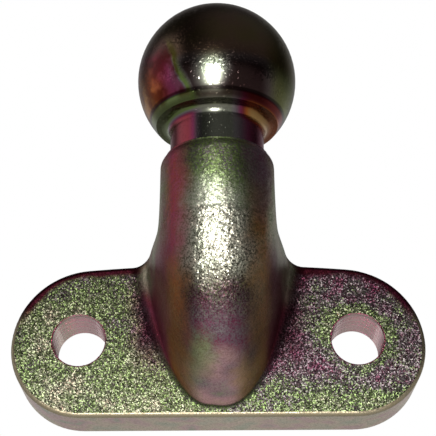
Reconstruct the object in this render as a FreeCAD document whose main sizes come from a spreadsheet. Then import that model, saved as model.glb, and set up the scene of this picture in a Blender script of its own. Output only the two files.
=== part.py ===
"""Bolt-on tow ball: one drop forging with a turned ball and neck and a two-hole flange.

Frame, in millimetres: the origin is midway between the bolt holes on the flange's mounting face,
+Z runs up along the ball's axis, +Y runs back into the vehicle, and +X is to the right as seen
by someone facing the ball from the trailer.
"""

import FreeCAD
import Part
import Sketcher
import math
import os

OUT = "parts"
NODE = "tow_ball"

# Driving dimensions: alias, value, meaning
SIZES = [
    ("ball_diameter", 50.0, "coupling ball"),
    ("ball_height", 73.0, "ball centre above the line of the bolt holes"),
    ("ball_reach", 56.0, "ball centre in front of the mounting face"),
    ("ball_top_flat", 16.0, "diameter of the turned flat on top of the ball"),
    ("undercut_diameter", 38.0, "lower face of the ball, where its sphere ends"),
    ("throat_radius", 3.0, "fillet between the neck and the ball's lower face"),
    ("neck_diameter", 29.0, "turned neck"),
    ("neck_root_radius", 1.0, "turned fillet at the foot of the neck"),
    ("neck_land_width", 0.5, "turned land around the foot of the neck"),
    ("neck_land_drop", 0.4, "land below the top of the forged arm"),
    ("collar_diameter", 35.0, "round top of the forged arm"),
    ("collar_height", 45.5, "top of the forged arm above the line of the holes"),
    ("collar_round", 4.0, "rounded shoulder of the collar"),
    ("flange_width", 133.6, "flange from end to end"),
    ("flange_thickness", 17.7, "flange from mounting face to front face"),
    ("flange_below", 25.2, "bottom edge below the line of the holes"),
    ("flange_widest_drop", 2.0, "widest line of the flange below the line of the holes"),
    ("flange_shoulder_radius", 26.6, "upper round of each end"),
    ("flange_crown_radius", 500.0, "gentle arch of the top edge"),
    ("flange_edge_round", 1.4, "rounding of the front edge"),
    ("hole_spacing", 90.0, "bolt holes, centre to centre"),
    ("hole_diameter", 17.0, "bolt hole"),
    ("hole_edge_break", 0.4, "chamfer of the bolt hole's edges, front and back"),
    ("arm_foot_rise", 37.0, "top of the arm in the bend, above the line of the holes"),
    ("arm_foot_drop", 22.8, "tip of the arm's nose below the line of the holes"),
    ("arm_foot_half_width", 20.5, "half width of the arm's foot at mid height"),
    ("arm_foot_taper", 0.4, "share by which the foot widens upwards and narrows downwards"),
    ("arm_foot_crown", 4.0, "squareness of the foot's upper half, 2 is an ellipse"),
    ("arm_foot_nose", 3.0, "squareness of the foot's lower half, 2 is an ellipse"),
    ("arm_elbow_squareness", 2.85, "squareness of the outer bend, 2 is an ellipse"),
    ("arm_heel_drop", 6.0, "fall of the arm's top behind the bend, down to the mounting face"),
    ("arm_root_fillet", 7.0, "fillet between arm and flange at the top"),
    ("arm_nose_fillet", 1.0, "fillet between arm and flange under the nose"),
]

ARM_STATIONS = 7
ARM_POINTS = 24
TOUCH = 0.001

doc = FreeCAD.newDocument("tow_ball")
sheet = doc.addObject("Spreadsheet::Sheet", "Sizes")
for row, (alias, value, meaning) in enumerate(SIZES, start=1):
    sheet.set(f"A{row}", alias)
    sheet.set(f"B{row}", str(value))
    sheet.set(f"C{row}", meaning)
    sheet.setAlias(f"B{row}", alias)
doc.recompute()


def size(alias):
    return float(sheet.get(alias))


def plane(body, role):
    return next(f for f in body.Origin.OriginFeatures if f.Role == role)


def new_sketch(body, name, role):
    sketch = body.newObject("Sketcher::SketchObject", name)
    sketch.AttachmentSupport = (plane(body, role), [""])
    sketch.MapMode = "FlatFace"
    return sketch


def dimension(sketch, name, expression, *constraint):
    index = sketch.addConstraint(Sketcher.Constraint(*constraint))
    sketch.renameConstraint(index, name)
    sketch.setExpression(f"Constraints.{name}", expression)
    return index


def arm_section(share):
    """Closed spline across the arm, at a share of the way from the flange to the collar."""
    turn = share * math.pi / 2
    rise, drop = size("arm_foot_rise"), size("arm_foot_drop")
    top, reach, radius = size("collar_height"), size("ball_reach"), size("collar_diameter") / 2
    forward, downward = math.sin(turn), max(math.cos(turn), 0)
    elbow = 2 / size("arm_elbow_squareness")
    heel = size("arm_heel_drop") * (1 - share) ** 6
    inner = FreeCAD.Vector(0, -(reach - radius) * forward, top - (top - rise) * downward - heel)
    outer = FreeCAD.Vector(0, -(reach + radius) * forward ** elbow, top - (top + drop) * downward ** elbow)
    middle = (inner + outer) * 0.5
    along = outer - middle
    blend = share * share * (3 - 2 * share)
    half_width = size("arm_foot_half_width") * (1 - blend) + radius * blend
    taper = size("arm_foot_taper") * (1 - blend)
    points = []
    for k in range(ARM_POINTS):
        angle = 2 * math.pi * k / ARM_POINTS
        c, s = math.cos(angle), math.sin(angle)
        square = size("arm_foot_nose") if c > 0 else size("arm_foot_crown")
        power = 2 / (square * (1 - blend) + 2 * blend)
        v = math.copysign(abs(c) ** power, c)
        x = math.copysign(abs(s) ** power, s) * half_width * (1 - taper * v)
        points.append(middle + along * v + FreeCAD.Vector(x, 0, 0))
    curve = Part.BSplineCurve()
    curve.interpolate(Points=points, PeriodicFlag=True)
    return Part.Wire([curve.toShape()])


def build_flange():
    """Plate with rounded ends, its front edge rounded and two bolt holes through it."""
    body = doc.addObject("PartDesign::Body", "flange")
    half, drop, below = size("flange_width") / 2, size("flange_widest_drop"), size("flange_below")
    upper, crown, lower = size("flange_shoulder_radius"), size("flange_crown_radius"), below - drop
    upper_x, lower_x = half - upper, half - lower
    lean = math.asin(upper_x / (crown - upper))
    crown_z = -drop - (crown - upper) * math.cos(lean)
    up, right = FreeCAD.Vector(0, 0, 1), math.pi / 2

    def arc(x, z, radius, start, end):
        circle = Part.Circle(FreeCAD.Vector(x, z, 0), up, radius)
        return Part.ArcOfCircle(circle, start, end)

    outline = new_sketch(body, "flange_outline", "XZ_Plane")
    outline.addGeometry(arc(lower_x, -drop, lower, -right, 0))
    outline.addGeometry(arc(upper_x, -drop, upper, 0, right - lean))
    outline.addGeometry(arc(0, crown_z, crown, right - lean, right + lean))
    outline.addGeometry(arc(-upper_x, -drop, upper, right + lean, 2 * right))
    outline.addGeometry(arc(-lower_x, -drop, lower, 2 * right, 3 * right))
    ends = FreeCAD.Vector(-lower_x, -below, 0), FreeCAD.Vector(lower_x, -below, 0)
    outline.addGeometry(Part.LineSegment(*ends))
    for this, following in ((0, 1), (1, 2), (2, 3), (3, 4), (4, 5), (5, 0)):
        outline.addConstraint(Sketcher.Constraint("Tangent", this, 2, following, 1))
    outline.addConstraint(Sketcher.Constraint("Horizontal", 5))
    outline.addConstraint(Sketcher.Constraint("Symmetric", 3, 2, 0, 2, -2))
    outline.addConstraint(Sketcher.Constraint("Horizontal", 1, 3, 1, 1))
    outline.addConstraint(Sketcher.Constraint("Horizontal", 3, 3, 3, 2))
    outline.addConstraint(Sketcher.Constraint("Equal", 1, 3))
    dimension(outline, "width", "Sizes.flange_width", "DistanceX", 3, 2, 0, 2, 2 * half)
    dimension(outline, "drop", "Sizes.flange_widest_drop", "DistanceY", 0, 2, -1, 1, drop)
    dimension(outline, "below", "Sizes.flange_below", "DistanceY", 5, 2, -1, 1, below)
    dimension(outline, "shoulder", "Sizes.flange_shoulder_radius", "Radius", 1, upper)
    dimension(outline, "crown", "Sizes.flange_crown_radius", "Radius", 2, crown)
    pad = body.newObject("PartDesign::Pad", "plate")
    pad.Profile = outline
    pad.setExpression("Length", "Sizes.flange_thickness")
    doc.recompute()

    front = [f"Edge{k}" for k, edge in enumerate(pad.Shape.Edges, start=1)
             if edge.BoundBox.YMax < -size("flange_thickness") / 2]
    rounding = body.newObject("PartDesign::Fillet", "front_edge_round")
    rounding.Base = (pad, front)
    rounding.setExpression("Radius", "Sizes.flange_edge_round")
    doc.recompute()

    hole = new_sketch(body, "bolt_hole_outline", "XZ_Plane")
    centre = FreeCAD.Vector(size("hole_spacing") / 2, 0, 0)
    hole.addGeometry(Part.Circle(centre, up, size("hole_diameter") / 2))
    hole.addConstraint(Sketcher.Constraint("PointOnObject", 0, 3, -1))
    dimension(hole, "offset", "Sizes.hole_spacing / 2", "DistanceX", -1, 1, 0, 3, centre.x)
    dimension(hole, "bore", "Sizes.hole_diameter", "Diameter", 0, size("hole_diameter"))
    pocket = body.newObject("PartDesign::Pocket", "bolt_hole")
    pocket.Profile = hole
    pocket.Type = "ThroughAll"
    pocket.Reversed = True
    doc.recompute()
    mirrored = body.newObject("PartDesign::Mirrored", "second_bolt_hole")
    mirrored.Originals = [pocket]
    mirrored.MirrorPlane = (plane(body, "YZ_Plane"), [""])
    body.Tip = mirrored
    doc.recompute()
    rims = [f"Edge{k}" for k, edge in enumerate(mirrored.Shape.Edges, start=1)
            if abs(edge.BoundBox.XLength - size("hole_diameter")) < 1e-3
            and edge.BoundBox.YLength < 1e-3]
    edge_break = body.newObject("PartDesign::Chamfer", "bolt_hole_edge_break")
    edge_break.Base = (mirrored, rims)
    edge_break.setExpression("Size", "Sizes.hole_edge_break")
    body.Tip = edge_break
    doc.recompute()
    return body


def build_ball():
    """Turned ball, neck and land, as one revolved outline about the ball's axis."""
    body = doc.addObject("PartDesign::Body", "ball_and_neck")
    radius, height = size("ball_diameter") / 2, size("ball_height")
    neck, under, flat = size("neck_diameter") / 2, size("undercut_diameter") / 2, size("ball_top_flat") / 2
    root, throat = size("neck_root_radius"), size("throat_radius")
    land = neck + root + size("neck_land_width")
    land_z = size("collar_height") - size("neck_land_drop")
    base_z = size("collar_height") - 2 * size("collar_round")
    under_z = height - math.sqrt(radius ** 2 - under ** 2)
    top_z = height + math.sqrt(radius ** 2 - flat ** 2)

    def point(x, z):
        return FreeCAD.Vector(x, z, 0)

    def arc(x, z, r, start, end):
        return Part.ArcOfCircle(Part.Circle(point(x, z), FreeCAD.Vector(0, 0, 1), r), start, end)

    right = math.pi / 2
    profile = new_sketch(body, "turned_profile", "YZ_Plane")
    profile.setExpression("AttachmentOffset.Base.x", "-Sizes.ball_reach")
    profile.addGeometry(Part.LineSegment(point(0, base_z), point(land, base_z)))
    profile.addGeometry(Part.LineSegment(point(land, base_z), point(land, land_z)))
    profile.addGeometry(Part.LineSegment(point(land, land_z), point(neck + root, land_z)))
    profile.addGeometry(arc(neck + root, land_z + root, root, 2 * right, 3 * right))
    profile.addGeometry(Part.LineSegment(point(neck, land_z + root), point(neck, under_z - throat)))
    profile.addGeometry(arc(neck + throat, under_z - throat, throat, right, 2 * right))
    start, end = math.atan2(under_z - height, under), math.atan2(top_z - height, flat)
    profile.addGeometry(arc(0, height, radius, start, end))
    profile.addGeometry(Part.LineSegment(point(flat, top_z), point(0, top_z)))
    profile.addGeometry(Part.LineSegment(point(0, top_z), point(0, base_z)))
    profile.addGeometry(Part.LineSegment(point(neck + throat, under_z), point(under, under_z)))
    joined = ((0, 2, 1, 1), (1, 2, 2, 1), (9, 2, 6, 1), (6, 2, 7, 1), (7, 2, 8, 1), (8, 2, 0, 1))
    for this, this_end, following, following_end in joined:
        profile.addConstraint(
            Sketcher.Constraint("Coincident", this, this_end, following, following_end))
    for this, this_end, following, following_end in ((2, 2, 3, 2), (3, 1, 4, 1), (4, 2, 5, 2), (5, 1, 9, 1)):
        profile.addConstraint(
            Sketcher.Constraint("Tangent", this, this_end, following, following_end))
    for line in (0, 2, 7, 9):
        profile.addConstraint(Sketcher.Constraint("Horizontal", line))
    for line in (1, 4):
        profile.addConstraint(Sketcher.Constraint("Vertical", line))
    profile.addConstraint(Sketcher.Constraint("PointOnObject", 8, 1, -2))
    profile.addConstraint(Sketcher.Constraint("PointOnObject", 8, 2, -2))
    profile.addConstraint(Sketcher.Constraint("PointOnObject", 6, 3, -2))
    dimension(profile, "base", "Sizes.collar_height - 2 * Sizes.collar_round",
              "DistanceY", -1, 1, 0, 1, base_z)
    dimension(profile, "land", "Sizes.neck_land_width", "DistanceX", 2, 2, 2, 1, land - neck - root)
    dimension(profile, "land_level", "Sizes.collar_height - Sizes.neck_land_drop",
              "DistanceY", -1, 1, 1, 2, land_z)
    dimension(profile, "root", "Sizes.neck_root_radius", "Radius", 3, root)
    dimension(profile, "neck", "Sizes.neck_diameter / 2", "DistanceX", -1, 1, 4, 1, neck)
    dimension(profile, "throat", "Sizes.throat_radius", "Radius", 5, throat)
    dimension(profile, "undercut", "Sizes.undercut_diameter / 2", "DistanceX", -1, 1, 6, 1, under)
    dimension(profile, "ball", "Sizes.ball_diameter / 2", "Radius", 6, radius)
    dimension(profile, "height", "Sizes.ball_height", "DistanceY", -1, 1, 6, 3, height)
    dimension(profile, "top_flat", "Sizes.ball_top_flat / 2", "DistanceX", -1, 1, 6, 2, flat)
    turned = body.newObject("PartDesign::Revolution", "turned_ball")
    turned.Profile = profile
    turned.ReferenceAxis = (profile, ["V_Axis"])
    turned.Angle = 360
    doc.recompute()
    return body


def build_arm():
    """Forged arm, lofted through its sections, with a rounded shoulder under the neck."""
    sections = []
    for number in range(ARM_STATIONS):
        section = doc.addObject("Part::Feature", f"arm_section_{number}")
        section.Shape = arm_section(number / (ARM_STATIONS - 1))
        sections.append(section)
    loft = doc.addObject("Part::Loft", "arm_loft")
    loft.Sections = sections
    loft.Solid = True
    loft.Ruled = False
    doc.recompute()
    rim = [k for k, edge in enumerate(loft.Shape.Edges, start=1)
           if edge.BoundBox.ZMin > size("collar_height") - 0.01]
    arm = doc.addObject("Part::Fillet", "arm")
    arm.Base = loft
    arm.Edges = [(k, size("collar_round"), size("collar_round")) for k in rim]
    doc.recompute()
    return arm


def build_forging(flange, arm, ball):
    """One solid of plate, arm and ball, with the arm blended into the plate by a tapering fillet."""
    union = doc.addObject("Part::MultiFuse", "union")
    union.Shapes = [flange, arm, ball]
    union.Refine = True
    doc.recompute()
    blend = doc.addObject("Part::Fillet", NODE)
    blend.Base = union
    blend.Edges = [
        (number, *[fillet_radius(edge.valueAt(at)) for at in edge.ParameterRange])
        for number, edge in enumerate(union.Shape.Edges, start=1)
        if on_root_line(edge, arm.Shape, flange.Shape)
    ]
    blend.Label = NODE
    doc.recompute()
    return blend


def on_root_line(edge, arm_shape, flange_shape):
    """Whether an edge lies on the line where the arm comes out of the plate."""
    first, last = edge.ParameterRange
    middle = edge.valueAt((first + last) / 2)
    point = Part.Vertex(middle)
    in_front = middle.y < -TOUCH
    return in_front and all(point.distToShape(shape)[0] < TOUCH for shape in (arm_shape, flange_shape))


def fillet_radius(point):
    """The root fillet is smallest under the tip of the nose, on the middle plane."""
    return size("arm_nose_fillet") if abs(point.x) < TOUCH else size("arm_root_fillet")


def check(part):
    for item in doc.Objects:
        if "Invalid" in item.State or "Error" in item.State:
            raise RuntimeError(f"{item.Label} failed: {item.State}")
    shape = part.Shape
    if shape.isNull() or not shape.isValid() or len(shape.Solids) != 1:
        raise RuntimeError(f"{part.Label} is not one valid solid")


tow_ball = build_forging(build_flange(), build_arm(), build_ball())
check(tow_ball)
os.makedirs(OUT, exist_ok=True)
tow_ball.Shape.exportStep(f"{OUT}/{tow_ball.Label}.step")
box = tow_ball.Shape.optimalBoundingBox(False, False)
print(f"{tow_ball.Label}: {tow_ball.Shape.Volume / 1000:.1f} cm3,"
      f" {box.XLength:.1f} x {box.YLength:.1f} x {box.ZLength:.1f} mm")
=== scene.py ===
# %% [markdown]
# # A forged tow ball, dressed for its picture
# The tow ball is one drop forging: a flange with two bolt holes, a curved arm, and a ball and neck
# turned on a lathe. The whole piece is zinc plated and dipped in a yellow passivation, whose thin
# film shows gold, green and magenta. The solid is right as it comes from the CAD model, so this
# lesson is about its finish: one film, laid over a blasted, a turned and a drilled surface.

# %% Load the frame
import math
from functools import reduce

import bpy
from mathutils import Matrix, Vector


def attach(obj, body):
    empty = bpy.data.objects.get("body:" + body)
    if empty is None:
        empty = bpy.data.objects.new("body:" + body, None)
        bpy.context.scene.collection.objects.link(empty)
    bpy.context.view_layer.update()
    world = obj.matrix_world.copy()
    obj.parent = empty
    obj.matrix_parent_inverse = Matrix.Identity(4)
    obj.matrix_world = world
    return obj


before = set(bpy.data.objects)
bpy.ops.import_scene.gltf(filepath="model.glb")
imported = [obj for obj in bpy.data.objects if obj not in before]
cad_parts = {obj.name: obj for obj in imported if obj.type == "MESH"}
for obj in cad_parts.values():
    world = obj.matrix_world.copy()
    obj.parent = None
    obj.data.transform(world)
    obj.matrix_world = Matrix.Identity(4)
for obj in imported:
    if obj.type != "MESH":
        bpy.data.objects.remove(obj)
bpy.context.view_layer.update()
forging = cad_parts["tow_ball"]

# %% [markdown]
# ## Sizes that the finish follows
# A finish changes where the tool changed: the lathe stopped at the foot of the neck, the drill left
# its bores, and the die gave the rest. These few sizes say where, in metres, in the part's frame.
# X runs to the right, Y to the back and Z up. FOOT is the egg where the arm meets the flange, LOBE
# the centre of a rounded end of the flange, and FLASH_HALO the middle of the pale patch painted
# round the flash's mirror spot on the front of the ball, a painted highlight.

# %% Sizes
MM = 0.001
NECK_FOOT = 45.3 * MM
FLANGE_FRONT = -17.7 * MM
HOLE_X = 45.0 * MM
HOLE_RADIUS = 8.5 * MM
FOOT_HALF_WIDTH = 24.0 * MM
FOOT_HALF_HEIGHT = 30.0 * MM
FOOT_MIDDLE = 7.0 * MM
LOBE_X = 40.2 * MM
LOBE_Z = -1.5 * MM
LIP_START = 22.6 * MM
FLASH_HALO_X = -1.4 * MM
FLASH_HALO_Z = 64.5 * MM

# %% [markdown]
# ## Helpers for node trees
# Node trees written in code read best as short sentences, so each helper below adds one kind of
# node, plugs in sockets or plain numbers, and hands back the output socket.

# %% Node helpers
def colour(code):
    """Linear colour of a code such as 'c9b35f', as a screen shows it."""
    parts = [int(code[k:k + 2], 16) / 255 for k in (0, 2, 4)]
    return (*[p / 12.92 if p <= 0.04045 else ((p + 0.055) / 1.055) ** 2.4 for p in parts], 1.0)


def add(tree, kind, inputs=(), **settings):
    """New node with its settings, and with a socket or a plain value on each input named."""
    node = tree.nodes.new(kind)
    for name, value in settings.items():
        setattr(node, name, value)
    for key, value in dict(inputs).items():
        if isinstance(value, bpy.types.NodeSocket):
            tree.links.new(value, node.inputs[key])
        else:
            node.inputs[key].default_value = value
    return node


def calc(tree, operation, *values):
    return add(tree, "ShaderNodeMath", dict(enumerate(values)), operation=operation).outputs[0]


def chain(tree, operation, values):
    """One value from several, by the same operation taken step after step."""
    return reduce(lambda first, second: calc(tree, operation, first, second), values)


def total(tree, *values):
    return chain(tree, "ADD", values)


def times(tree, *values):
    return chain(tree, "MULTIPLY", values)


def most(tree, *values):
    return chain(tree, "MAXIMUM", values)


def less(tree, first, second):
    return calc(tree, "SUBTRACT", first, second)


def distance(tree, first, second):
    """Length of the slant across two sides at right angles."""
    squares = [calc(tree, "POWER", side, 2.0) for side in (first, second)]
    return calc(tree, "SQRT", total(tree, *squares))


# %% [markdown]
# Masks and films need a second set: smooth steps from one limit to another, blends of values and
# colours, and noise. A limit pair that runs downwards, such as (30, 20), fades in on the way down.

# %% Blending helpers
def span(tree, value, low, high, start=0.0, end=1.0):
    """Smooth step of a value from start to end between two limits, which may run either way."""
    if low > high:
        low, high, start, end = high, low, end, start
    inputs = {"Value": value, "From Min": low, "From Max": high, "To Min": start, "To Max": end}
    return add(tree, "ShaderNodeMapRange", inputs, interpolation_type="SMOOTHSTEP").outputs[0]


def mix(tree, factor, first, second):
    inputs = {0: factor, 2: first, 3: second}
    return add(tree, "ShaderNodeMix", inputs, data_type="FLOAT").outputs[0]


def tint(tree, factor, first, second, blend="MIX"):
    inputs = {0: factor, 6: first, 7: second}
    return add(tree, "ShaderNodeMix", inputs, data_type="RGBA", blend_type=blend).outputs[2]


def darken(tree, factor, base, code):
    """Colour darkened by multiplying it with another: used for stains and for painted shade."""
    return tint(tree, factor, base, colour(code), "MULTIPLY")


def noise(tree, vector, size, detail=2.0, roughness=0.5):
    """Soft noise around 0.5 whose blots are about the given size in metres."""
    inputs = {"Vector": vector, "Scale": 1 / size, "Detail": detail, "Roughness": roughness}
    return add(tree, "ShaderNodeTexNoise", inputs).outputs[0]


def sway(tree, vector, size, detail=2.0, roughness=0.5):
    """The same noise around zero, to push a border or a film thickness either way."""
    return less(tree, noise(tree, vector, size, detail, roughness), 0.5)


def new_group(name, inputs, outputs):
    """Empty shader node group with named float, vector or colour sockets."""
    tree = bpy.data.node_groups.new(name, "ShaderNodeTree")
    for label, kind in inputs.items():
        tree.interface.new_socket(label, in_out="INPUT", socket_type=kind)
    for label, kind in outputs.items():
        tree.interface.new_socket(label, in_out="OUTPUT", socket_type=kind)
    return tree, tree.nodes.new("NodeGroupInput").outputs, tree.nodes.new("NodeGroupOutput").inputs


def use_group(tree, group, inputs):
    return add(tree, "ShaderNodeGroup", inputs, node_tree=group).outputs


# %% [markdown]
# ## The passivation film
# A chromate film is a fraction of a micrometre thick, and its colour comes from interference: as it
# thickens it runs through straw, gold, magenta, violet and green, and then round again. A colour
# ramp over a film thickness from 0 to 1 gives that order once, for every material that wears it.

# %% Film colours
FILM_STOPS = (
    (0.00, "b8b09a"), (0.12, "ac9660"), (0.24, "a8622e"), (0.33, "7e3436"), (0.42, "82395a"),
    (0.51, "74606a"), (0.58, "847e7e"), (0.66, "758e4e"), (0.76, "9fa18a"), (0.86, "bca890"),
    (0.94, "b88c92"), (1.00, "8a947a"),
)


def build_film_group():
    tree, given, result = new_group("film_colours", {"Thickness": "NodeSocketFloat"},
                                    {"Colour": "NodeSocketColor"})
    ramp = add(tree, "ShaderNodeValToRGB", {0: given["Thickness"]})
    stops = ramp.color_ramp.elements
    while len(stops) < len(FILM_STOPS):
        stops.new(0.5)
    for stop, (position, code) in zip(stops, FILM_STOPS):
        stop.position = position
        stop.color = colour(code)
    tree.links.new(ramp.outputs[0], result["Colour"])
    return tree


def film_colour(tree, thickness):
    return use_group(tree, film_group, {"Thickness": thickness})[0]


film_group = build_film_group()
print("film colours", len(FILM_STOPS), "stops")

# %% [markdown]
# ## Blasted grain
# Scale is blasted off a forging with grit before plating, which leaves a skin of small dents and
# ridges under half a millimetre wide. Each facet takes the film a little differently, so the group
# puts out a height for the bump, a value that changes from grain to grain for the film, and a
# normal that leans another way on each facet, which makes the skin glitter under a flash.

# %% Blasted grain
def build_grain_group():
    tree, given, result = new_group(
        "blasted_grain",
        {"Vector": "NodeSocketVector", "Grain": "NodeSocketFloat", "Tilt": "NodeSocketFloat"},
        {"Height": "NodeSocketFloat", "Facet": "NodeSocketFloat", "Normal": "NodeSocketVector"})
    pattern = {"Vector": given["Vector"], "Scale": calc(tree, "DIVIDE", 1.0, given["Grain"])}
    ridges = add(tree, "ShaderNodeTexNoise", {**pattern, "Detail": 2.0}).outputs[0]
    cells = add(tree, "ShaderNodeTexVoronoi", {**pattern, "Randomness": 1.0}, feature="F1").outputs

    def vector(operation, inputs):
        return add(tree, "ShaderNodeVectorMath", inputs, operation=operation).outputs[0]

    lean = vector("SUBTRACT", {0: cells["Color"], 1: (0.5, 0.5, 0.5)})
    lean = vector("SCALE", {0: lean, "Scale": given["Tilt"]})
    skin = add(tree, "ShaderNodeNewGeometry").outputs["Normal"]
    normal = vector("NORMALIZE", {0: vector("ADD", {0: skin, 1: lean})})
    shade = add(tree, "ShaderNodeSeparateColor", {0: cells["Color"]}).outputs[1]
    tree.links.new(ridges, result["Height"])
    tree.links.new(mix(tree, 0.5, shade, ridges), result["Facet"])
    tree.links.new(normal, result["Normal"])
    return tree


grain_group = build_grain_group()
print("blasted grain ready")

# %% [markdown]
# ## Where each tool worked
# One material dresses the whole forging, because it is one piece of plated steel. Painting masks by
# hand would need a texture, so masks are made from the part's own coordinates instead: they say
# where the lathe, the drill and the die worked. Each pair of limits below runs from none of a
# region to all of it, and a soft waver keeps the borders from looking ruled.

# %% Masks of the forging
TURNED_Z = (NECK_FOOT - 0.25 * MM, NECK_FOOT + 0.1 * MM)
BORE_REACH = (HOLE_RADIUS + 0.5 * MM, HOLE_RADIUS + 0.2 * MM)
LIP_REACH = (LIP_START, LIP_START + 2 * MM)
LIP_Z = (2 * MM, 12 * MM)
LIP_Y = (FLANGE_FRONT + 4 * MM, FLANGE_FRONT + 1.5 * MM)
EDGE_Y = (FLANGE_FRONT + 0.6 * MM, FLANGE_FRONT + 2.2 * MM)
NOSE_Z = (3 * MM, -12 * MM)
NOSE_Y = (-18.2 * MM, -21 * MM)
FLANK_X = (6 * MM, 14.5 * MM)
ROOT_REACH = (1.36, 1.00)
ROOT_Z = (-16 * MM, 2 * MM)
RIM_FRONT_Y = (FLANGE_FRONT + 0.008 * MM, FLANGE_FRONT + 0.03 * MM)
RIM_BACK_Y = (FLANGE_FRONT + 1.7 * MM, FLANGE_FRONT + 1.2 * MM)
ARM_Y = (FLANGE_FRONT - 0.2 * MM, FLANGE_FRONT - 2.6 * MM)
WAVER = 9 * MM
LIP_WAVER = 0.25


def part_masks(tree):
    """Masks, from 0 to 1, of each worked region, with the coordinates they are made from."""
    place = add(tree, "ShaderNodeTexCoord").outputs["Object"]
    x, y, z = add(tree, "ShaderNodeSeparateXYZ", {0: place}).outputs
    aside = calc(tree, "ABSOLUTE", x)
    to_hole = distance(tree, less(tree, aside, HOLE_X), z)
    waver = times(tree, sway(tree, place, WAVER, 3.0), WAVER)
    wavy_x = total(tree, x, waver)
    broad = calc(tree, "DIVIDE", wavy_x, FOOT_HALF_WIDTH)
    tall = calc(tree, "DIVIDE", less(tree, z, FOOT_MIDDLE), FOOT_HALF_HEIGHT)
    to_foot = distance(tree, broad, tall)
    past_lobe = most(tree, less(tree, aside, LOBE_X), 0.0)
    to_outline = distance(tree, past_lobe, less(tree, z, LOBE_Z))
    to_outline = total(tree, to_outline, times(tree, waver, LIP_WAVER))
    masks = {
        "turned": span(tree, z, *TURNED_Z),
        "bore": span(tree, to_hole, *BORE_REACH),
        "lip": times(tree, span(tree, to_outline, *LIP_REACH), span(tree, z, *LIP_Z), span(tree, y, *LIP_Y)),
        "edge": span(tree, y, *EDGE_Y),
        "nose": times(tree, span(tree, z, *NOSE_Z), span(tree, y, *NOSE_Y)),
        "flank": span(tree, calc(tree, "ABSOLUTE", wavy_x), *FLANK_X),
        "root": times(tree, span(tree, to_foot, *ROOT_REACH), span(tree, z, *ROOT_Z)),
        "rim": times(tree, span(tree, y, *RIM_FRONT_Y), span(tree, y, *RIM_BACK_Y)),
        "arm": span(tree, y, *ARM_Y),
    }
    return place, (x, y, z), to_hole, masks


# %% [markdown]
# ## The bath
# A part hung in the bath drains from one end, so each face keeps a film of its own thickness, which
# drifts slowly over the face, gathers in blots and changes a little from grain to grain. The table
# gives each face its thickness and how strongly it does the three.

# %% The bath
SKIN_FILMS = {
    "shaded corner": (0.46, 0.10, 0.16, 0.20),
    "wall": (0.88, 0.45, 0.40, 0.06),
    # The rim's pale film is a painted highlight of the flash on the flange's lower edge.
    "rim": (0.03, 0.00, 0.05, 0.05),
    "lip": (0.38, 0.10, 0.10, 0.10),
    "belly": (0.56, 0.16, 0.14, 0.45),
    "nose": (0.525, 0.26, 0.20, 0.18),
    "tip": (0.93, 0.10, 0.10, 0.05),
    "left maroon": (0.355, 0.05, 0.08, 0.10),
    "left tan": (0.23, 0.06, 0.08, 0.10),
    "right violet": (0.49, 0.05, 0.06, 0.10),
    "right olive": (0.17, 0.05, 0.06, 0.10),
    "fillet": (0.37, 0.05, 0.06, 0.06),
    "pale flank": (0.73, 0.30, 0.16, 0.15),
}
DRIFT_SIZE = 24 * MM
BLOT_SIZE = 6 * MM
RAGGED_SIZE = 11 * MM
RAGGED_SWING = 14 * MM
DRAIN_SWING = 26 * MM


class Bath:
    """How the bath met the skin: the changes of the film, and coordinates with ragged borders."""

    def __init__(self, tree, place, axes, facet):
        self.tree = tree
        self.ragged = sway(tree, place, RAGGED_SIZE, 4.0, 0.65)
        drift = sway(tree, place, DRIFT_SIZE)
        self.changes = (drift, sway(tree, place, BLOT_SIZE), less(tree, facet, 0.5))
        self.x = total(tree, axes[0], times(tree, self.ragged, RAGGED_SWING))
        self.z = total(tree, axes[2], times(tree, drift, DRAIN_SWING))

    def film(self, thickness, *shares):
        """Film colour at a thickness, with its shares of drift, blots and grain."""
        for change, share in zip(self.changes, shares):
            thickness = total(self.tree, thickness, times(self.tree, change, share))
        return film_colour(self.tree, thickness)

    def face(self, name):
        return self.film(*SKIN_FILMS[name])


# %% [markdown]
# ## Film over the flange
# The flange is green on the left lobe and violet on the right, paler green along its lower edge and
# round the holes, and greyer towards its top on the left, which is painted shade. Where it meets the
# arm it is dark red, darkened further by painted shade, and the pale film on its rounded lower rim is
# a painted highlight of the flash. Colours are mixed here face by face. Mixing thicknesses instead
# would draw a full rainbow along every border, which only the polished ball has.

# %% Film over the flange
LEFT_LOBE = 0.685
RIGHT_LOBE = 0.50
LOW_EDGE = 0.71
HIGH_LEFT = 0.58
HIGH_RIGHT = 0.46
HOLE_HALO = 0.68
FLANGE_CHANGES = (0.42, 0.26, 0.34)
RIGHT_LOBE_X = (-26 * MM, 26 * MM)
HIGH_RIGHT_X = (-20 * MM, 20 * MM)
LOW_EDGE_Z = (-9 * MM, -21 * MM, 0.0, 0.75)
TOP_SHADE_Z = (8 * MM, 23 * MM, 0.0, 0.7)
HALO_REACH = (14 * MM, 10 * MM, 0.0, 0.7)


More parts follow.
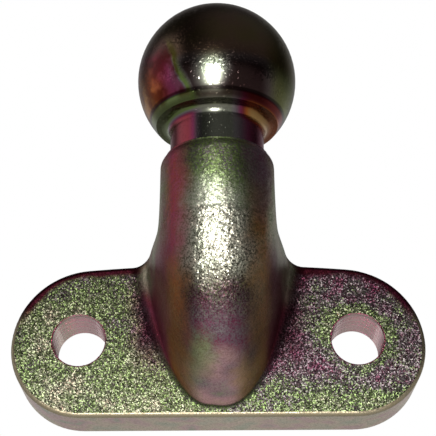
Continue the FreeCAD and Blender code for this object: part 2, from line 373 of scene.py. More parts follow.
def flange_film(tree, bath, to_hole, masks):
    lobes = mix(tree, span(tree, bath.x, *RIGHT_LOBE_X), LEFT_LOBE, RIGHT_LOBE)
    lobes = mix(tree, span(tree, bath.z, *LOW_EDGE_Z), lobes, LOW_EDGE)
    # Towards the top the film turns greyer on the left and more violet on the right; the greying is painted
    # shade.
    high = mix(tree, span(tree, bath.x, *HIGH_RIGHT_X), HIGH_LEFT, HIGH_RIGHT)
    lobes = mix(tree, span(tree, bath.z, *TOP_SHADE_Z), lobes, high)
    lobes = mix(tree, span(tree, to_hole, *HALO_REACH), lobes, HOLE_HALO)
    flange = bath.film(lobes, *FLANGE_CHANGES)
    # Round the root of the arm the film is darkened: painted shade.
    flange = tint(tree, masks["root"], flange, darken(tree, 0.5, bath.face("shaded corner"), "5c484a"))
    flange = tint(tree, masks["edge"], flange, tint(tree, 0.35, bath.face("wall"), colour("ccc6be")))
    # Pale film on the rounded lower rim: painted highlight of the flash.
    flange = tint(tree, masks["rim"], flange, bath.face("rim"))
    return tint(tree, masks["lip"], flange, darken(tree, 0.8, bath.face("lip"), "6a4a4c"))


# %% [markdown]
# ## Film over the arm
# Down the front of the arm the film runs from green under the collar to a violet nose, with a green
# and a straw spot on it. A paler film and a silvery tint down the middle of the crest are a painted
# highlight of the flash; painted shade darkens the crest just under the collar, on both shoulders
# beside it and over the belly. The flanks go from maroon to tan on the left and from violet to olive
# on the right, in stripes that follow the forging's shoulders, and painted shade darkens the fillet
# on the right.

# %% Film over the arm
CREST_HIGH = 0.63
CREST_LOW = 0.75
CREST_CHANGES = (0.12, 0.14, 0.24)
CREST_LOW_Z = (38 * MM, 20 * MM)
COLLAR_SHADE_Z = (28 * MM, 40 * MM, 0.0, 0.55)
CREST_HIGHLIGHT_Z = (34 * MM, 24 * MM, 0.0, 0.45)
BELLY_Z = (8 * MM, -4 * MM)
TIP_Z = (-16 * MM, -22 * MM, 0.0, 0.9)
BATH_SPOTS = (((-6.5 * MM, -14.5 * MM), 7.5 * MM, 0.67), ((8.5 * MM, -17.5 * MM), 6.5 * MM, 0.15))
SPOT_CHANGES = (0.05, 0.05, 0.05)
SPOT_SHARE = 0.6
SHOULDER_SHADE_X = (4.0 * MM, 10.0 * MM)
RIGHT_SIDE_X = (-2 * MM, 2 * MM)
SHOULDER_SHADE_LEFT = 0.62
SHOULDER_SHADE_RIGHT = 0.48
SHOULDER_SHADE_NOSE = 0.40


def crest_film(tree, bath, axes, width, masks):
    """Film down the front of the arm, from the collar to the nose, with its painted highlight and shade."""
    x, _, z = axes
    # The paler film lower down the crest is partly a painted highlight of the flash's streak.
    crest = bath.film(mix(tree, span(tree, bath.z, *CREST_LOW_Z), CREST_HIGH, CREST_LOW), *CREST_CHANGES)
    # Darker just under the collar: painted shade.
    crest = darken(tree, span(tree, bath.z, *COLLAR_SHADE_Z), crest, "948880")
    # Silvery tint down the crest: painted highlight of the flash's streak.
    crest = tint(tree, span(tree, bath.z, *CREST_HIGHLIGHT_Z), crest, colour("b8b8ae"))
    # The belly is darkened: painted shade where the arm turns away from the flash.
    arm = tint(tree, span(tree, bath.z, *BELLY_Z), crest, darken(tree, 0.9, bath.face("belly"), "a89490"))
    arm = tint(tree, masks["nose"], arm, darken(tree, 0.35, bath.face("nose"), "a89a96"))
    arm = tint(tree, times(tree, masks["nose"], span(tree, bath.z, *TIP_Z)), arm, bath.face("tip"))
    for (spot_x, spot_z), spread, thickness in BATH_SPOTS:
        apart = distance(tree, less(tree, bath.x, spot_x), less(tree, z, spot_z))
        near = span(tree, apart, spread, 0.1 * spread, 0.0, SPOT_SHARE)
        arm = tint(tree, near, arm, bath.film(thickness, *SPOT_CHANGES))
    # Darker on both shoulders beside the crest: painted shade.
    side = mix(tree, span(tree, x, *RIGHT_SIDE_X), SHOULDER_SHADE_LEFT, SHOULDER_SHADE_RIGHT)
    shoulder_shade = times(tree, span(tree, width, *SHOULDER_SHADE_X), mix(tree, masks["nose"], side, SHOULDER_SHADE_NOSE))
    return darken(tree, shoulder_shade, arm, "5a4a48")


LEFT_SIDE_X = (2 * MM, -2 * MM)
TAN_Z = (12 * MM, 0.0)
OLIVE_Z = (36 * MM, 24 * MM)
PALE_FOOT_Z = (10 * MM, 27 * MM)
PALE_TOP_Z = (50 * MM, 30 * MM)
PALE_RAGGED = (-0.22, 0.10, 0.25, 1.0)
OUTER_FLANK_X = (13.5 * MM, 17.0 * MM)
RIGHT_FILLET_SHADE = 0.55


def flank_film(tree, bath, x, width):
    """Film on the sides of the arm: an inner stripe beside the crest, and the fillet outside it, darkened on
    the right by painted shade.
    """
    on_left = span(tree, x, *LEFT_SIDE_X)
    tan = darken(tree, 0.5, bath.face("left tan"), "8a7a70")
    olive = darken(tree, 0.6, bath.face("right olive"), "8a7a70")
    left = tint(tree, span(tree, bath.z, *TAN_Z), bath.face("left maroon"), tan)
    right = tint(tree, span(tree, bath.z, *OLIVE_Z), bath.face("right violet"), olive)
    inner = tint(tree, on_left, right, left)
    # The fillet is darkened on the right side only: painted shade.
    fillet = darken(tree, mix(tree, on_left, RIGHT_FILLET_SHADE, 0.0), bath.face("fillet"), "5a3a3c")
    pale = times(tree, span(tree, bath.z, *PALE_FOOT_Z), span(tree, bath.z, *PALE_TOP_Z),
                 span(tree, bath.ragged, *PALE_RAGGED))
    outer = tint(tree, pale, fillet, bath.face("pale flank"))
    return tint(tree, span(tree, width, *OUTER_FLANK_X), inner, outer)


# %% [markdown]
# Flange, crest and flanks are then laid over each other by their masks, which gives the film of the
# whole blasted skin as one colour.

# %% Film over the forging
FLANK_RAGGED = 4 * MM


def forged_film(tree, place, axes, to_hole, masks, facet):
    """Film colour on the blasted skin, where each face took the bath its own way, with painted shade and
    highlights.
    """
    bath = Bath(tree, place, axes, facet)
    ragged_x = total(tree, axes[0], times(tree, bath.ragged, FLANK_RAGGED))
    width = calc(tree, "ABSOLUTE", ragged_x)
    crest = crest_film(tree, bath, axes, width, masks)
    arm = tint(tree, masks["flank"], crest, flank_film(tree, bath, axes[0], width))
    return tint(tree, masks["arm"], flange_film(tree, bath, to_hole, masks), arm)


# %% [markdown]
# ## Film over the turned ball
# The lathe leaves the ball and neck smooth, so the film lies there in broad sheets with sharp
# fringes. Here thickness itself is mixed, which gives the orange and magenta bands on one cheek,
# while the front stays a dark olive. A pale green patch painted round the flash's mirror spot on
# the front is a painted highlight halo.

# %% Regions of the ball
WANDER_SIZE = 9 * MM
WANDER = 5 * MM
CHEEK_SLANT = 0.4
CHEEK_FOOT_Z = (56.5 * MM, 59 * MM)
CHEEK_TOP_Z = (80 * MM, 69 * MM)
CHEEK_EDGE = (-8.5 * MM, -11 * MM)
FLASH_HALO_REACH = (8 * MM, 2 * MM)
FLASH_HALO_FOOT_Z = (56.5 * MM, 58 * MM)
GRAINY_SIZE = 6 * MM
GRAINY_NOISE = (0.42, 0.62)
GRAINY_FOOT_Z = (58 * MM, 61 * MM)


def ball_regions(tree, place, axes):
    """Masks on the ball: the cheek with bright bands, the painted highlight halo in front, and grainy skin.
    """
    x, _, z = axes
    wander = times(tree, sway(tree, place, WANDER_SIZE), WANDER)
    above_flash_halo = less(tree, z, FLASH_HALO_Z)
    across = total(tree, x, times(tree, above_flash_halo, CHEEK_SLANT), wander)
    to_flash_halo = total(tree, distance(tree, less(tree, x, FLASH_HALO_X), above_flash_halo), wander)
    patches = span(tree, noise(tree, place, GRAINY_SIZE, 3.0), *GRAINY_NOISE)
    return {
        "across": across,
        "cheek": times(tree, span(tree, z, *CHEEK_FOOT_Z), span(tree, z, *CHEEK_TOP_Z),
                       span(tree, across, *CHEEK_EDGE)),
        "flash halo": times(tree, span(tree, to_flash_halo, *FLASH_HALO_REACH), span(tree, z, *FLASH_HALO_FOOT_Z)),
        "grainy": times(tree, patches, span(tree, z, *GRAINY_FOOT_Z)),
    }


# %% [markdown]
# The throat under the ball and the neck are in the same film. It is maroon and green on the left,
# dark in the middle and red and gold on the right, in rings that follow the lathe.

# %% Film over the ball
BALL_LOW = 0.55
BALL_HIGH = 0.59
BALL_HIGH_Z = (64 * MM, 76 * MM)
BALL_WANDER = 0.10
BALL_RIGHT = 0.64
BALL_RIGHT_X = (12 * MM, 21 * MM)
BANDS = (-23 * MM, -12.5 * MM, 0.19, 0.45)
GREEN_BAND = 0.66
GREEN_BAND_EDGE = (-12.5 * MM, -11 * MM)
THROAT_Z = (59.3 * MM, 58.7 * MM)
NECK_MAROON = 0.345
NECK_GREEN = 0.68
NECK_GREEN_Z = (54.6 * MM, 56.4 * MM)
NECK_MAGENTA = 0.40
NECK_GOLD = 0.16
NECK_GOLD_Z = (52.5 * MM, 55.0 * MM)
NECK_RED = 0.33
NECK_RED_Z = (56.0 * MM, 57.5 * MM)
NECK_MIDDLE = 0.60
NECK_RIGHT_X = (4 * MM, 11 * MM)
NECK_LEFT_X = (-4 * MM, -9 * MM)


def turned_thickness(tree, place, axes, ball):
    """Film thickness on the ball and neck: olive, with bright bands on one cheek and the throat."""
    x, _, z = axes
    wander = times(tree, sway(tree, place, WANDER_SIZE), BALL_WANDER)
    body = total(tree, mix(tree, span(tree, z, *BALL_HIGH_Z), BALL_LOW, BALL_HIGH), wander)
    body = mix(tree, span(tree, x, *BALL_RIGHT_X), body, BALL_RIGHT)
    bands = span(tree, ball["across"], *BANDS)
    bands = mix(tree, span(tree, ball["across"], *GREEN_BAND_EDGE), bands, GREEN_BAND)
    left = mix(tree, span(tree, z, *NECK_GREEN_Z), NECK_MAROON, NECK_GREEN)
    right = mix(tree, span(tree, z, *NECK_GOLD_Z), NECK_MAGENTA, NECK_GOLD)
    right = mix(tree, span(tree, z, *NECK_RED_Z), right, NECK_RED)
    neck = mix(tree, span(tree, x, *NECK_RIGHT_X), NECK_MIDDLE, right)
    neck = mix(tree, span(tree, x, *NECK_LEFT_X), neck, left)
    return mix(tree, span(tree, z, *THROAT_Z), mix(tree, ball["cheek"], body, bands), neck)


# %% [markdown]
# ## Calm and lively skin
# The blasted skin is smoother on the flange's edge, in the fillets and on the nose, so its facets
# lean less there. On the belly of the arm, between highlight and nose, they lean more.

# %% Regions of the skin
FILLET_Z = (30 * MM, 20 * MM)
BELLY_TOP_Z = (16 * MM, 6 * MM)
BELLY_FOOT_Z = (-12 * MM, -3 * MM)
EDGE_CALM = 0.9
NOSE_CALM = 0.8
FLANGE_TILT = 0.58
ARM_TILT = 0.30
BELLY_TILT = 0.50
CALM_TILT = 0.18
BALL_TILT = 0.17


def skin_regions(tree, z, masks):
    """Masks of the faces that a tool cut smooth, of the calmer skin, and of the arm's belly."""
    smooth = most(tree, masks["turned"], masks["bore"])
    fillet = times(tree, masks["flank"], masks["arm"], span(tree, z, *FILLET_Z))
    edge = times(tree, masks["edge"], EDGE_CALM)
    nose = times(tree, masks["nose"], NOSE_CALM)
    calm = most(tree, edge, masks["rim"], masks["lip"], fillet, nose)
    belly = times(tree, span(tree, z, *BELLY_TOP_Z), span(tree, z, *BELLY_FOOT_Z))
    return {"smooth": smooth, "calm": calm, "belly": belly}


def facet_tilt(tree, masks, skin, ball):
    """How far the facets of the grain lean."""
    rough = mix(tree, masks["arm"], FLANGE_TILT, mix(tree, skin["belly"], ARM_TILT, BELLY_TILT))
    blasted = mix(tree, skin["calm"], rough, CALM_TILT)
    return mix(tree, skin["smooth"], blasted, times(tree, ball["grainy"], BALL_TILT))


# %% [markdown]
# ## Pits and painted shade over the film
# The low facets of the grain are darkened, partly as dark residue in the pits and partly as painted
# shade. Painted shade also darkens the flange towards its top and round the root of the arm, and the
# ball on its lower half, on its top, on its right limb with an olive cast, and in a dark ring where it
# meets the throat. Each darkening multiplies the film's colour, so that the film still shows through
# it, and dark gaps of uneven tone break the bands on the ball's cheek.

# %% Pits and painted shade over the film
PIT_FACETS = (0.56, 0.30)
FLANGE_PITS = 0.80
ARM_PITS = 0.68
BELLY_PITS = 0.90
CALM_PITS = 0.20
FLANGE_SHADE_Z = (-22 * MM, 22 * MM, 0.36, 0.60)
ROOT_SHADE = 0.75


def skin_pits_and_shade(tree, z, masks, skin, facet, film):
    """Film colour with dark pits, partly residue and partly painted shade, and a darker flange front."""
    depth = mix(tree, masks["arm"], FLANGE_PITS, mix(tree, skin["belly"], ARM_PITS, BELLY_PITS))
    depth = mix(tree, skin["smooth"], mix(tree, skin["calm"], depth, CALM_PITS), 0.0)
    # Low facets of the grain darkened: partly dark residue in the pits and partly painted shade.
    base = tint(tree, times(tree, span(tree, facet, *PIT_FACETS), depth), film, colour("2c2420"))
    face = less(tree, 1.0, most(tree, masks["arm"], masks["edge"]))
    # The flange's front is darkened evenly and more towards its top and round the arm's root; that extra is
    # painted shade.
    flange_shade = most(tree, span(tree, z, *FLANGE_SHADE_Z), times(tree, masks["root"], ROOT_SHADE))
    return darken(tree, times(tree, face, flange_shade), base, "5c4a46")


UNDER_TOP_Z = (71 * MM, 66 * MM)
UNDER_FOOT_Z = (54 * MM, 58 * MM)
LIMB_X = (13 * MM, 20 * MM, 0.0, 0.7)
GAP_SIZE = 5 * MM
GAP_NOISE = (0.62, 0.40, 0.25, 1.0)
UPPER_Z = (66 * MM, 71 * MM)
RING_FOOT_Z = (58.4 * MM, 58.9 * MM)
RING_TOP_Z = (60.0 * MM, 59.5 * MM)
RING_SHADE = 0.75


def ball_shade_and_gaps(tree, place, axes, masks, ball, base):
    """Colour with painted shade under the ball, on its top, in its ring and on its right limb, and dark gaps
    in the cheek's bands.
    """
    x, _, z = axes
    under = times(tree, span(tree, z, *UNDER_TOP_Z), span(tree, z, *UNDER_FOOT_Z))
    limb = span(tree, x, *LIMB_X)
    clear = less(tree, 1.0, most(tree, ball["cheek"], ball["flash halo"], limb))
    gaps = span(tree, noise(tree, place, GAP_SIZE), *GAP_NOISE)
    ring = times(tree, span(tree, z, *RING_FOOT_Z), span(tree, z, *RING_TOP_Z), RING_SHADE)
    darkenings = (
        # Darker over the lower half of the ball: painted shade.
        (times(tree, under, clear), "6a5854"),
        # Darker and olive on the right limb: painted shade.
        (times(tree, limb, masks["turned"]), "dcbc8c"),
        (times(tree, ball["cheek"], gaps), "a8867c"),
        # Darker on the top of the ball: painted shade.
        (span(tree, z, *UPPER_Z), "ccac92"),
        # Dark ring where the ball meets the throat: painted shade.
        (ring, "4a3e3a"),
    )
    for share, code in darkenings:
        base = darken(tree, share, base, code)
    return base


# %% [markdown]
# ## Relief of the skin
# The bump has three scales on the arm, where the die and the hammer left it uneven: grain, small
# dents and broad ones. The flange is flatter. Turned faces have only fine lathe lines and a few pin
# holes, so the two reliefs are made apart and joined by the mask of the smooth faces.

# %% Relief
GRAIN_ON_ARM = 0.55
SKIN_WAVES = ((2.2 * MM, 1.5, 0.5, 3.6), (1.2 * MM, 1.0, 0.0, 2.6))
CALM_RELIEF = 0.4
LATHE_STEP = 1.6 * MM
LATHE_DEPTH = 0.012
PIN_HOLE_SIZE = 0.6 * MM
PIN_HOLE_NOISE = (0.67, 0.76)
PIN_HOLE_DEPTH = 0.25


def skin_relief(tree, place, masks, skin, grain):
    """Height for the bump of the blasted skin and of the turned faces."""
    relief = times(tree, grain, mix(tree, masks["arm"], 1.0, GRAIN_ON_ARM))
    for size, detail, on_flange, on_arm in SKIN_WAVES:
        depth = mix(tree, masks["arm"], on_flange, on_arm)
        relief = total(tree, relief, times(tree, noise(tree, place, size, detail), depth))
    relief = times(tree, relief, mix(tree, skin["calm"], 1.0, CALM_RELIEF))
    rings = {"Vector": place, "Scale": 1 / LATHE_STEP, "Distortion": 0.6, "Detail": 1.0}
    lines = add(tree, "ShaderNodeTexWave", rings, wave_type="BANDS", bands_direction="Z").outputs["Fac"]
    pin_holes = span(tree, noise(tree, place, PIN_HOLE_SIZE, 0.0), *PIN_HOLE_NOISE)
    turned = less(tree, times(tree, lines, LATHE_DEPTH), times(tree, pin_holes, PIN_HOLE_DEPTH))
    return mix(tree, skin["smooth"], relief, turned)


# %% [markdown]
# ## One steel for the whole forging
# Film, grain and tool marks meet in one Principled shader. It is all metal, so its colour is the
# film's own, with its stains, its painted shade and its painted highlights. Turned faces get a low
# roughness stretched round the axis, as fine lathe lines do, while blasted faces scatter light
# through tilted facets.

# %% Passivated steel
GRAIN = 0.38 * MM
BORE_FILM_X = (-52 * MM, -46 * MM, 0.74, 0.88)
STREAK_SIZE = 5 * MM
STREAK_SHARE = 0.12
BORE_GLEAM = 0.4
BLASTED_ROUGHNESS = 0.37
NOSE_ROUGHNESS = 0.46
FACET_ROUGHNESS = 0.10
SMOOTH_ROUGHNESS = 0.22
BUMP_STRENGTH = 0.7
BUMP_DEPTH = 0.14 * MM
LATHE_SHEEN = 0.40
LATHE_SHEEN_TURN = 0.25


def whole_film(tree, place, axes, masks, skin, ball, forged):
    """Film colour of the blasted skin, the bores and the turned faces, with a painted gleam on the bores and
    a painted highlight halo on the ball.
    """
    streaks = times(tree, noise(tree, place, STREAK_SIZE), STREAK_SHARE)
    drilled = total(tree, span(tree, axes[0], *BORE_FILM_X), streaks)
    cut = mix(tree, masks["bore"], turned_thickness(tree, place, axes, ball), drilled)
    film = tint(tree, skin["smooth"], forged, film_colour(tree, cut))
    # Pale pink over the bores: painted gleam.
    film = tint(tree, times(tree, masks["bore"], BORE_GLEAM), film, colour("f0d4cc"))
    # Pale green patch round the flash's mirror spot on the ball: painted highlight halo.
    return tint(tree, times(tree, ball["flash halo"], masks["turned"]), film, colour("a0a892"))


def passivated_steel():
    material = bpy.data.materials.new("passivated_steel")
    material.use_nodes = True
    tree = material.node_tree
    tree.nodes.clear()
    place, axes, to_hole, masks = part_masks(tree)
    skin = skin_regions(tree, axes[2], masks)
    ball = ball_regions(tree, place, axes)
    tilt = facet_tilt(tree, masks, skin, ball)
    grain, facet, tilted = use_group(tree, grain_group, {"Vector": place, "Grain": GRAIN, "Tilt": tilt})
    forged = forged_film(tree, place, axes, to_hole, masks, facet)
    film = whole_film(tree, place, axes, masks, skin, ball, forged)
    base = skin_pits_and_shade(tree, axes[2], masks, skin, facet, film)
    base = ball_shade_and_gaps(tree, place, axes, masks, ball, base)
    matt = mix(tree, masks["nose"], BLASTED_ROUGHNESS, NOSE_ROUGHNESS)
    matt = total(tree, matt, times(tree, facet, FACET_ROUGHNESS))
    relief = skin_relief(tree, place, masks, skin, grain)
    bump = add(tree, "ShaderNodeBump", {
        "Height": relief, "Normal": tilted, "Strength": BUMP_STRENGTH, "Distance": BUMP_DEPTH})
    lathe = add(tree, "ShaderNodeTangent", direction_type="RADIAL", axis="Z")
    shader = add(tree, "ShaderNodeBsdfPrincipled", {
        "Base Color": base, "Roughness": mix(tree, skin["smooth"], matt, SMOOTH_ROUGHNESS),
        "Metallic": 1.0, "Normal": bump.outputs[0],
        "Anisotropic": LATHE_SHEEN, "Anisotropic Rotation": LATHE_SHEEN_TURN,
        "Tangent": lathe.outputs[0]})
    add(tree, "ShaderNodeOutputMaterial", {0: shader.outputs[0]})
    return material


steel = passivated_steel()
for slot in forging.material_slots:
    slot.material = steel
print("forging wears", steel.name, "in", len(forging.material_slots), "slot")

# %% [markdown]
# ## Freshly drilled steel
# The drill's rings and the burr on a hole's rim stand proud of the bore, so they keep a thinner film
# than the faces beside them: maroon, and a little uneven.

# %% Drilled steel
DRILLED_FILM = 0.30
DRILLED_FILM_SHARE = 0.2
DRILLED_BLOTS = 3 * MM
DRILLED_SCUFFS = 1 * MM
DRILLED_ROUGHNESS = (0.34, 0.50)


def drilled_steel():
    material = bpy.data.materials.new("drilled_steel")
    material.use_nodes = True
    tree = material.node_tree
    shader = tree.nodes["Principled BSDF"]
    place = add(tree, "ShaderNodeTexCoord").outputs["Object"]
    blots = times(tree, noise(tree, place, DRILLED_BLOTS), DRILLED_FILM_SHARE)
    film = film_colour(tree, total(tree, DRILLED_FILM, blots))
    roughness = mix(tree, noise(tree, place, DRILLED_SCUFFS), *DRILLED_ROUGHNESS)
    tree.links.new(film, shader.inputs["Base Color"])
    tree.links.new(roughness, shader.inputs["Roughness"])
    shader.inputs["Metallic"].default_value = 1.0
    return material


drilled = drilled_steel()
print("rings and burrs wear", drilled.name)

# %% [markdown]
# ## Trees that grow small pieces
# Geometry Nodes suit what repeats. The helpers open a tree with named inputs, close it by realizing
# its copies and dressing them, and turn the result into a plain mesh, because an export keeps
# meshes and drops copies.

# %% Tree helpers
def open_shape_tree(name, lengths, counts):
    """Empty Geometry Nodes tree, with its input sockets and their identifiers by name."""
    tree = bpy.data.node_groups.new(name, "GeometryNodeTree")
    tree.interface.new_socket("Geometry", in_out="OUTPUT", socket_type="NodeSocketGeometry")
    identifiers = {}
    for labels, kind in ((lengths, "NodeSocketFloat"), (counts, "NodeSocketInt")):
        for label in labels:
            socket = tree.interface.new_socket(label, in_out="INPUT", socket_type=kind)
            identifiers[label] = socket.identifier
    return tree, tree.nodes.new("NodeGroupInput").outputs, identifiers


def close_shape_tree(tree, geometry, material):
    solid = add(tree, "GeometryNodeRealizeInstances", {0: geometry})
    dressed = add(tree, "GeometryNodeSetMaterial", {0: solid.outputs[0], "Material": material})
    tree.links.new(dressed.outputs[0], tree.nodes.new("NodeGroupOutput").inputs[0])


def grow(name, tree, identifiers, values):
    """Plain mesh object made by a Geometry Nodes tree with the given values on its inputs."""
    carrier = bpy.data.objects.new(name + "_carrier", bpy.data.meshes.new(name + "_seed"))
    bpy.context.scene.collection.objects.link(carrier)
    modifier = carrier.modifiers.new(name, "NODES")
    modifier.node_group = tree
    for label, value in values.items():
        modifier[identifiers[label]] = value
    evaluated = carrier.evaluated_get(bpy.context.evaluated_depsgraph_get())
    mesh = bpy.data.meshes.new_from_object(evaluated)
    bpy.data.objects.remove(carrier)
    piece = bpy.data.objects.new(name, mesh)
    bpy.context.scene.collection.objects.link(piece)
    print(name, len(mesh.polygons), "faces")
    return piece


# %% [markdown]
# ## Drill marks in the bolt holes
# A twist drill leaves fine raised rings down a hole, seen here against the light. They repeat along
# the bore, so Geometry Nodes makes one thin ring, stands copies of it down a line in each hole, and
# realizes them to plain mesh with their own material.

# %% Drill marks
RING_STEP = 1.15 * MM
RING_INSET = 1.3 * MM
RING_WIRE = 0.06 * MM
RING_SIDES = 144
WIRE_SIDES = 6
RING_SCALES = (0.9985, 1.0035)
RING_SEED = 7
UPRIGHT = (math.pi / 2, 0, 0)


def ring_tree(name, material):
    """Thin rings about Y, at even steps down a bore and again in its twin."""
    tree, given, identifiers = open_shape_tree(
        name, ("Ring radius", "Wire radius", "Step", "Start", "Hole offset"), ("Rings",))

    def circle(sides, radius):
        inputs = {"Resolution": sides, "Radius": given[radius]}
        return add(tree, "GeometryNodeCurvePrimitiveCircle", inputs).outputs[0]

    path = circle(RING_SIDES, "Ring radius")
    ring = add(tree, "GeometryNodeCurveToMesh",
               {"Curve": path, "Profile Curve": circle(WIRE_SIDES, "Wire radius")})
    sleek = add(tree, "GeometryNodeSetShadeSmooth", {0: ring.outputs[0]})
    stand = add(tree, "GeometryNodeTransform", {0: sleek.outputs[0], "Rotation": UPRIGHT})
    origin = add(tree, "ShaderNodeCombineXYZ", {"X": given["Hole offset"], "Y": given["Start"]})
    step = add(tree, "ShaderNodeCombineXYZ", {"Y": given["Step"]})
    line = add(tree, "GeometryNodeMeshLine", {
        "Count": given["Rings"], "Start Location": origin.outputs[0], "Offset": step.outputs[0]})
    low, high = RING_SCALES
    jitter = add(tree, "FunctionNodeRandomValue", {"Min": low, "Max": high, "Seed": RING_SEED})
    scale = next(output for output in jitter.outputs if output.enabled)
    copies = add(tree, "GeometryNodeInstanceOnPoints",
                 {"Points": line.outputs[0], "Instance": stand.outputs[0], "Scale": scale})
    across = add(tree, "ShaderNodeCombineXYZ", {"X": times(tree, given["Hole offset"], -2.0)})
    twin = add(tree, "GeometryNodeTransform", {0: copies.outputs[0], "Translation": across.outputs[0]})
    both = add(tree, "GeometryNodeJoinGeometry")
    for bore in (copies, twin):
        tree.links.new(bore.outputs[0], both.inputs[0])
    close_shape_tree(tree, both.outputs[0], material)
    return tree, identifiers


drill_marks = grow("drill_marks", *ring_tree("drill_rings", drilled), {
    "Ring radius": HOLE_RADIUS, "Wire radius": RING_WIRE, "Step": RING_STEP,
    "Start": FLANGE_FRONT + RING_INSET, "Hole offset": HOLE_X,
    "Rings": int((-FLANGE_FRONT - 2 * RING_INSET) / RING_STEP) + 1})
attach(drill_marks, "root")

# %% [markdown]
# ## Burrs on the hole rims
# Where the drill breaks into the blasted face it rolls up a thin, ragged burr, which catches the
# flash. Geometry Nodes strews small flattened grains round each rim at uneven sizes, with a fixed
# seed, so that the rim is broken in the same places every time.

# %% Rim burrs
BURR_RADIUS = 0.26 * MM
BURR_OUTSIDE = 0.30 * MM
BURR_SINK = 0.12 * MM
BURR_GRAINS = 90
BURR_SEED = 11
BURR_SHAPES = ((0.3, 0.2, 0.3), (1.5, 0.5, 1.2))
BURR_TURNS = ((0.0, 0.0, 0.0), (0.0, 6.28, 0.0))
RIM_TURN = 1.3


def burr_tree(name, material):
    """Small grains round two holes, on the front face, each turned and sized by chance."""
    tree, given, identifiers = open_shape_tree(
        name, ("Rim radius", "Grain radius", "Face", "Hole offset"), ("Grains", "Seed"))

    def by_chance(low, high):
        inputs = {0: low, 1: high, "Seed": given["Seed"]}
        return add(tree, "FunctionNodeRandomValue", inputs, data_type="FLOAT_VECTOR").outputs[0]

    grain = add(tree, "GeometryNodeMeshIcoSphere", {"Radius": given["Grain radius"], "Subdivisions": 2})
    rim = add(tree, "GeometryNodeCurvePrimitiveCircle",
              {"Resolution": given["Grains"], "Radius": given["Rim radius"]})
    stand = add(tree, "GeometryNodeTransform", {0: rim.outputs[0], "Rotation": UPRIGHT})
    points = add(tree, "GeometryNodeCurveToPoints", {0: stand.outputs[0]}, mode="EVALUATED")
    strewn = add(tree, "GeometryNodeInstanceOnPoints", {
        "Points": points.outputs[0], "Instance": grain.outputs[0],
        "Scale": by_chance(*BURR_SHAPES), "Rotation": by_chance(*BURR_TURNS)})
    both = add(tree, "GeometryNodeJoinGeometry")
    for side in (1.0, -1.0):
        centre = add(tree, "ShaderNodeCombineXYZ",
                     {"X": times(tree, given["Hole offset"], side), "Y": given["Face"]})
        placed = add(tree, "GeometryNodeTransform", {
            0: strewn.outputs[0], "Translation": centre.outputs[0],
            "Rotation": (0.0, RIM_TURN * side, 0.0)})
        tree.links.new(placed.outputs[0], both.inputs[0])
    close_shape_tree(tree, both.outputs[0], material)
    return tree, identifiers


rim_burrs = grow("rim_burrs", *burr_tree("rim_burrs", drilled), {
    "Rim radius": HOLE_RADIUS + BURR_OUTSIDE, "Grain radius": BURR_RADIUS,
    "Face": FLANGE_FRONT + BURR_SINK, "Hole offset": HOLE_X,
    "Grains": BURR_GRAINS, "Seed": BURR_SEED})
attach(rim_burrs, "root")

# %% [markdown]
# ## Floor
# The ball hangs at towing height over a plain pale floor. One wide sheet is enough: it fills the
# picture when the part is seen from above, and it lights the underside of the flange.

# %% Floor
FLOOR_Z = -305.0 * MM
FLOOR_SIZE = 24.0
FLOOR_BLOTS = 0.3
FLOOR_ROUGHNESS = 0.8


def pale_floor():
    bpy.ops.mesh.primitive_plane_add(size=FLOOR_SIZE, location=(0, 0, FLOOR_Z))
    floor = bpy.context.object
    floor.name = "floor"
    material = bpy.data.materials.new("pale_floor")
    material.use_nodes = True
    tree = material.node_tree
    shader = tree.nodes["Principled BSDF"]
    place = add(tree, "ShaderNodeTexCoord").outputs["Object"]
    shade = tint(tree, noise(tree, place, FLOOR_BLOTS), colour("e6e6e4"), colour("eeeeec"))
    tree.links.new(shade, shader.inputs["Base Color"])
    shader.inputs["Roughness"].default_value = FLOOR_ROUGHNESS
    floor.data.materials.append(material)


pale_floor()
print("floor", round(-1000 * FLOOR_Z), "mm below the line of the holes")

# %% [markdown]
# ## The room around it
# Polished metal shows its room. The backdrop is white to the camera and, behind the part, bright to
# its reflections too. The room on the camera's side stays dim, as it is behind a photographer with
# a flash, apart from soft glows to the sides that draw out the bands on the ball. Each glow has a
# direction, the cosines at which it is full and gone, and a strength.

# %% World
SIDE_GLOWS = (
    ((-0.95, -0.08, 0.22), 0.98, 0.76, 0.95),
    ((0.88, 0.25, -0.30), 0.97, 0.78, 0.34),
    ((0.45, -0.40, 0.80), 0.98, 0.60, 0.11),
)
BEHIND_Y = (0.25, 0.90)
BACKDROP_LEVELS = (0.0, 0.40, 0.90, 0.30)
DIM_ROOM = 0.015
SOFT_LIGHT = 0.60
WHITE = 1.0


def studio_world():
    world = bpy.data.worlds.new("studio")
    bpy.context.scene.world = world
    world.use_nodes = True
    tree = world.node_tree
    tree.nodes.clear()
    rays = add(tree, "ShaderNodeLightPath").outputs
    way = add(tree, "ShaderNodeTexCoord").outputs["Generated"]
    _, y, z = add(tree, "ShaderNodeSeparateXYZ", {0: way}).outputs
    glow = DIM_ROOM
    for toward, inner, outer, strength in SIDE_GLOWS:
        facing = add(tree, "ShaderNodeVectorMath", {0: way, 1: Vector(toward).normalized()},
                     operation="DOT_PRODUCT").outputs["Value"]
        glow = total(tree, glow, span(tree, facing, outer, inner, 0.0, strength))
    room = mix(tree, span(tree, y, *BEHIND_Y), glow, span(tree, z, *BACKDROP_LEVELS))
    mirrored = most(tree, rays["Is Glossy Ray"], rays["Is Transmission Ray"])
    level = mix(tree, rays["Is Camera Ray"], mix(tree, mirrored, SOFT_LIGHT, room), WHITE)
    light = add(tree, "ShaderNodeBackground", {"Color": (1.0, 1.0, 1.0, 1.0), "Strength": level})
    add(tree, "ShaderNodeOutputWorld", {0: light.outputs[0]})


studio_world()
print("room with", len(SIDE_GLOWS), "soft glows")

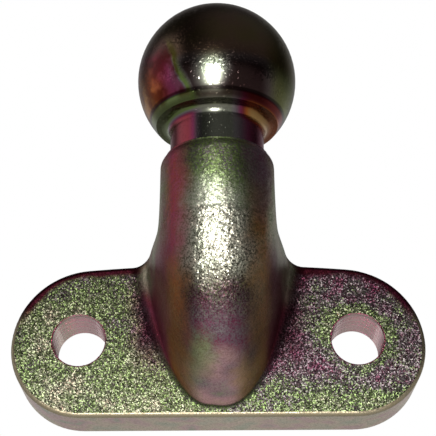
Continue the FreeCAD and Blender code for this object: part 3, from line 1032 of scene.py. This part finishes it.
# %% [markdown]
# ## Camera
# The camera looks up at the ball from below and in front. Its place and focal length were fitted to
# the photograph from known sizes: the 50 mm ball and the two bolt holes.

# %% Camera
CAMERA_TARGET = Vector((0.15, -25.0, 39.7)) * MM
CAMERA_DISTANCE = 410.2 * MM
CAMERA_ELEVATION = math.radians(-24.43)
CAMERA_AZIMUTH = math.radians(-0.04)
CAMERA_ROLL = math.radians(-0.36)
FRAME_PIXELS = 436
FOCAL_PIXELS = 1242.7
SENSOR_WIDTH = 36.0
NEAR_LIMIT = 0.01


def photo_camera():
    back = Vector((math.sin(CAMERA_AZIMUTH) * math.cos(CAMERA_ELEVATION),
                   -math.cos(CAMERA_AZIMUTH) * math.cos(CAMERA_ELEVATION),
                   math.sin(CAMERA_ELEVATION)))
    level = (-back).cross(Vector((0, 0, 1))).normalized()
    upright = level.cross(-back)
    right = level * math.cos(CAMERA_ROLL) + upright * math.sin(CAMERA_ROLL)
    up = upright * math.cos(CAMERA_ROLL) - level * math.sin(CAMERA_ROLL)
    data = bpy.data.cameras.new("photo_camera")
    data.sensor_width = SENSOR_WIDTH
    data.lens = SENSOR_WIDTH * FOCAL_PIXELS / FRAME_PIXELS
    data.clip_start = NEAR_LIMIT
    camera = bpy.data.objects.new("photo_camera", data)
    bpy.context.scene.collection.objects.link(camera)
    turn = Matrix((right, up, back)).transposed().to_4x4()
    camera.matrix_world = Matrix.Translation(CAMERA_TARGET + back * CAMERA_DISTANCE) @ turn
    bpy.context.scene.camera = camera
    return camera, right, up


camera, camera_right, camera_up = photo_camera()
print("camera at", [round(c, 3) for c in camera.matrix_world.translation])

# %% [markdown]
# ## Lights
# A flash sits a little above and to the left of the lens: its mirror image is the white spot on the
# ball and the streak down the arm. A broad weak disk around it stands for light that comes back
# from the room, and softens the edges of the streak.

# %% Lights
LIGHT_AIM = Vector((0, -30, 30)) * MM
FLASH_UP = 74 * MM
FLASH_LEFT = 34 * MM
FLASH_SIZE = 24 * MM
FLASH_WATTS = 2.2
FILL_BEHIND = Vector((0, 30, 0)) * MM
FILL_SIZE = 240 * MM
FILL_WATTS = 0.12


def disk_light(name, place, size, watts):
    """Round lamp at a place, turned to the middle of the part."""
    data = bpy.data.lights.new(name, "AREA")
    data.shape = "DISK"
    data.size = size
    data.energy = watts
    light = bpy.data.objects.new(name, data)
    bpy.context.scene.collection.objects.link(light)
    light.location = place
    light.rotation_euler = (LIGHT_AIM - place).to_track_quat("-Z", "Y").to_euler()


flash_place = camera.matrix_world.translation + camera_up * FLASH_UP - camera_right * FLASH_LEFT
disk_light("flash", flash_place, FLASH_SIZE, FLASH_WATTS)
disk_light("fill", flash_place - FILL_BEHIND, FILL_SIZE, FILL_WATTS)
bpy.context.scene.view_settings.view_transform = "Standard"
print("flash of", FLASH_WATTS, "W and fill of", FILL_WATTS, "W")
